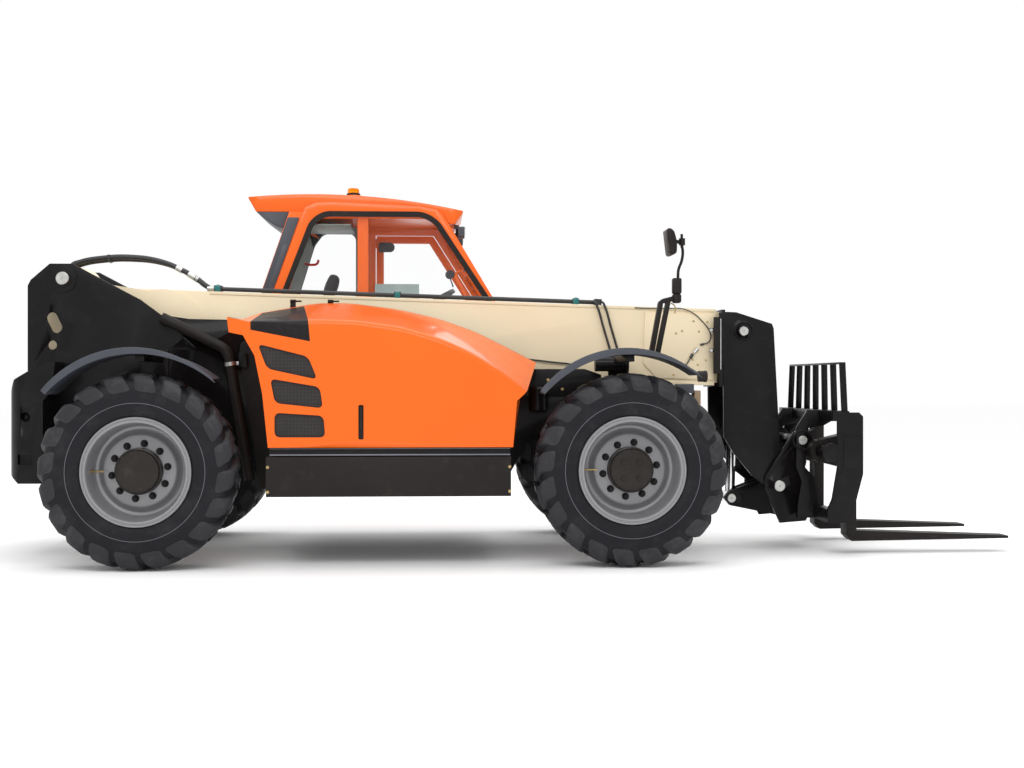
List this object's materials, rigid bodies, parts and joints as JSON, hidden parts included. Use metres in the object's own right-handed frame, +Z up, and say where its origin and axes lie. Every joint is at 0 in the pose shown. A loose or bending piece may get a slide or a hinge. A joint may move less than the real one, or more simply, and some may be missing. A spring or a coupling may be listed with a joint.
{
  "type": "telehandler",
  "caption": "Rough-terrain telehandler with four-wheel steering, side cab, telescopic boom at rest, fork carriage with backrest and two forks.",
  "frame": {"origin": "on the ground under the middle of the machine's box, forks included", "axes": "+X to the front (the forks), +Y to the driver's left (the cab side), +Z up"},
  "size_m": [6.929, 2.495, 2.6943],
  "materials": {
    "black_paint": "gloss",
    "orange_paint": "gloss",
    "cream_paint": "gloss",
    "frame_black": "satin",
    "cast_black": "satin",
    "dark_plastic": "matte",
    "pipe_black": "matte",
    "mesh_grille": "matte",
    "rim_silver": "satin",
    "tyre_rubber": "matte",
    "hose_rubber": "matte",
    "chrome_rod": "polished",
    "fork_steel": "satin",
    "tinted_glass": "polished",
    "seat_fabric": "woven",
    "lamp_glass": "polished",
    "amber_lens": "gloss",
    "engine_iron": "matte"
  },
  "bodies": {
    "chassis": {"chassis_frame": "black_paint", "counterweight": "cast_black", "engine_block": "engine_iron", "pod_sill": "frame_black", "exhaust_pipe": "pipe_black", "left_side_tank": "frame_black", "cab_tub": "frame_black", "cab_frame": "orange_paint", "cab_roof": "orange_paint", "cab_glass": "tinted_glass", "seat": "seat_fabric", "console": "dark_plastic", "fenders": "dark_plastic", "mirror": "dark_plastic", "lamps": "lamp_glass", "beacon": "amber_lens", "axle_front": "frame_black", "axle_rear": "frame_black"},
    "door": {"door_frame": "orange_paint", "door_glass": "tinted_glass"},
    "hood": {"hood_shell": "orange_paint", "hood_grilles": "mesh_grille"},
    "boom": {"boom_outer": "cream_paint", "boom_tubes": "pipe_black", "boom_hoses": "hose_rubber"},
    "telescope": {"boom_inner": "cream_paint", "boom_head": "black_paint"},
    "fork_head": {"coupler": "black_paint", "carriage": "black_paint", "backrest": "black_paint", "forks": "fork_steel"},
    "lift_barrel": {"lift_barrels": "frame_black"},
    "lift_rod": {"lift_rods": "chrome_rod"},
    "tilt_barrel": {"tilt_barrel": "frame_black"},
    "tilt_rod": {"tilt_rod": "chrome_rod"},
    "knuckle_front_left_body": {"knuckle_front_left": "frame_black"},
    "wheel_front_left": {"tyre_front_left": "tyre_rubber", "rim_front_left": "rim_silver"},
    "knuckle_front_right_body": {"knuckle_front_right": "frame_black"},
    "wheel_front_right": {"tyre_front_right": "tyre_rubber", "rim_front_right": "rim_silver"},
    "tie_front": {"tie_rod_front": "frame_black"},
    "knuckle_rear_left_body": {"knuckle_rear_left": "frame_black"},
    "wheel_rear_left": {"tyre_rear_left": "tyre_rubber", "rim_rear_left": "rim_silver"},
    "knuckle_rear_right_body": {"knuckle_rear_right": "frame_black"},
    "wheel_rear_right": {"tyre_rear_right": "tyre_rubber", "rim_rear_right": "rim_silver"},
    "tie_rear": {"tie_rod_rear": "frame_black"}
  },
  "joints": [
    {"name": "steer_front", "type": "hinge", "parent": "chassis", "child": "knuckle_front_left_body", "pos_m": [0.6645, 0.8, 0.635], "axis": [0, 0, 1], "range_deg": [-33, 33]},
    {"name": "steer_front_right", "type": "hinge", "parent": "chassis", "child": "knuckle_front_right_body", "pos_m": [0.6645, -0.8, 0.635], "axis": [0, 0, 1], "range_deg": [-33, 33]},
    {"name": "tie_front_pivot", "type": "hinge", "parent": "knuckle_front_left_body", "child": "tie_front", "pos_m": [0.4245, 0.8, 0.523], "axis": [0, 0, 1], "range_deg": [-33, 33]},
    {"name": "wheel_front_left_spin", "type": "hinge", "parent": "knuckle_front_left_body", "child": "wheel_front_left", "pos_m": [0.6645, 1.0525, 0.635], "axis": [0, 1, 0], "continuous": true},
    {"name": "wheel_front_right_spin", "type": "hinge", "parent": "knuckle_front_right_body", "child": "wheel_front_right", "pos_m": [0.6645, -1.0525, 0.635], "axis": [0, 1, 0], "continuous": true},
    {"name": "steer_rear", "type": "hinge", "parent": "chassis", "child": "knuckle_rear_left_body", "pos_m": [-2.5195, 0.8, 0.635], "axis": [0, 0, 1], "range_deg": [-33, 33]},
    {"name": "steer_rear_right", "type": "hinge", "parent": "chassis", "child": "knuckle_rear_right_body", "pos_m": [-2.5195, -0.8, 0.635], "axis": [0, 0, 1], "range_deg": [-33, 33]},
    {"name": "tie_rear_pivot", "type": "hinge", "parent": "knuckle_rear_left_body", "child": "tie_rear", "pos_m": [-2.2795, 0.8, 0.523], "axis": [0, 0, 1], "range_deg": [-33, 33]},
    {"name": "wheel_rear_left_spin", "type": "hinge", "parent": "knuckle_rear_left_body", "child": "wheel_rear_left", "pos_m": [-2.5195, 1.0525, 0.635], "axis": [0, 1, 0], "continuous": true},
    {"name": "wheel_rear_right_spin", "type": "hinge", "parent": "knuckle_rear_right_body", "child": "wheel_rear_right", "pos_m": [-2.5195, -1.0525, 0.635], "axis": [0, 1, 0], "continuous": true},
    {"name": "boom_lift", "type": "hinge", "parent": "chassis", "child": "boom", "pos_m": [-3.1795, 0, 1.925], "axis": [0, -1, 0], "range_deg": [0, 70]},
    {"name": "boom_extend", "type": "slide", "parent": "boom", "child": "telescope", "axis": [0.9995, 0, -0.0321], "range_m": [0, 2.8]},
    {"name": "fork_tilt", "type": "hinge", "parent": "telescope", "child": "fork_head", "pos_m": [1.8515, 0, 0.466], "axis": [0, 1, 0], "range_deg": [-15, 75]},
    {"name": "lift_barrel_pivot", "type": "hinge", "parent": "chassis", "child": "lift_barrel", "pos_m": [-2.7195, 0, 1.322], "axis": [0, -1, 0], "range_deg": [0, 71.23]},
    {"name": "lift_rod_stroke", "type": "slide", "parent": "lift_barrel", "child": "lift_rod", "axis": [1, 0, 0.0055], "range_m": [0, 0.8747]},
    {"name": "tilt_barrel_pivot", "type": "hinge", "parent": "telescope", "child": "tilt_barrel", "pos_m": [1.5975, 0, 1.575], "axis": [0, 1, 0], "range_deg": [-7.17, 1.83]},
    {"name": "tilt_rod_stroke", "type": "slide", "parent": "tilt_barrel", "child": "tilt_rod", "axis": [-0.0296, 0, -0.9996], "range_m": [-0.3615, 0.0755]},
    {"name": "door_hinge", "type": "hinge", "parent": "chassis", "child": "door", "pos_m": [-1.0915, 1.235, 1.6], "axis": [0, 0, 1], "range_deg": [0, 150]},
    {"name": "hood_hinge", "type": "hinge", "parent": "chassis", "child": "hood", "pos_m": [-1.6425, -0.435, 1.772], "axis": [-1, 0, 0], "range_deg": [0, 60]}
  ],
  "couplings": [
    {"joint": "steer_front_right", "follows": "steer_front", "ratio": 1},
    {"joint": "tie_front_pivot", "follows": "steer_front", "ratio": -1},
    {"joint": "steer_rear_right", "follows": "steer_rear", "ratio": 1},
    {"joint": "tie_rear_pivot", "follows": "steer_rear", "ratio": -1},
    {"joint": "lift_barrel_pivot", "follows": "boom_lift", "ratio": 1.0104},
    {"joint": "lift_rod_stroke", "follows": "boom_lift", "m_per_rad": 0.71184},
    {"joint": "tilt_barrel_pivot", "follows": "fork_tilt", "ratio": -0.088957},
    {"joint": "tilt_rod_stroke", "follows": "fork_tilt", "m_per_rad": -0.27308}
  ]
}
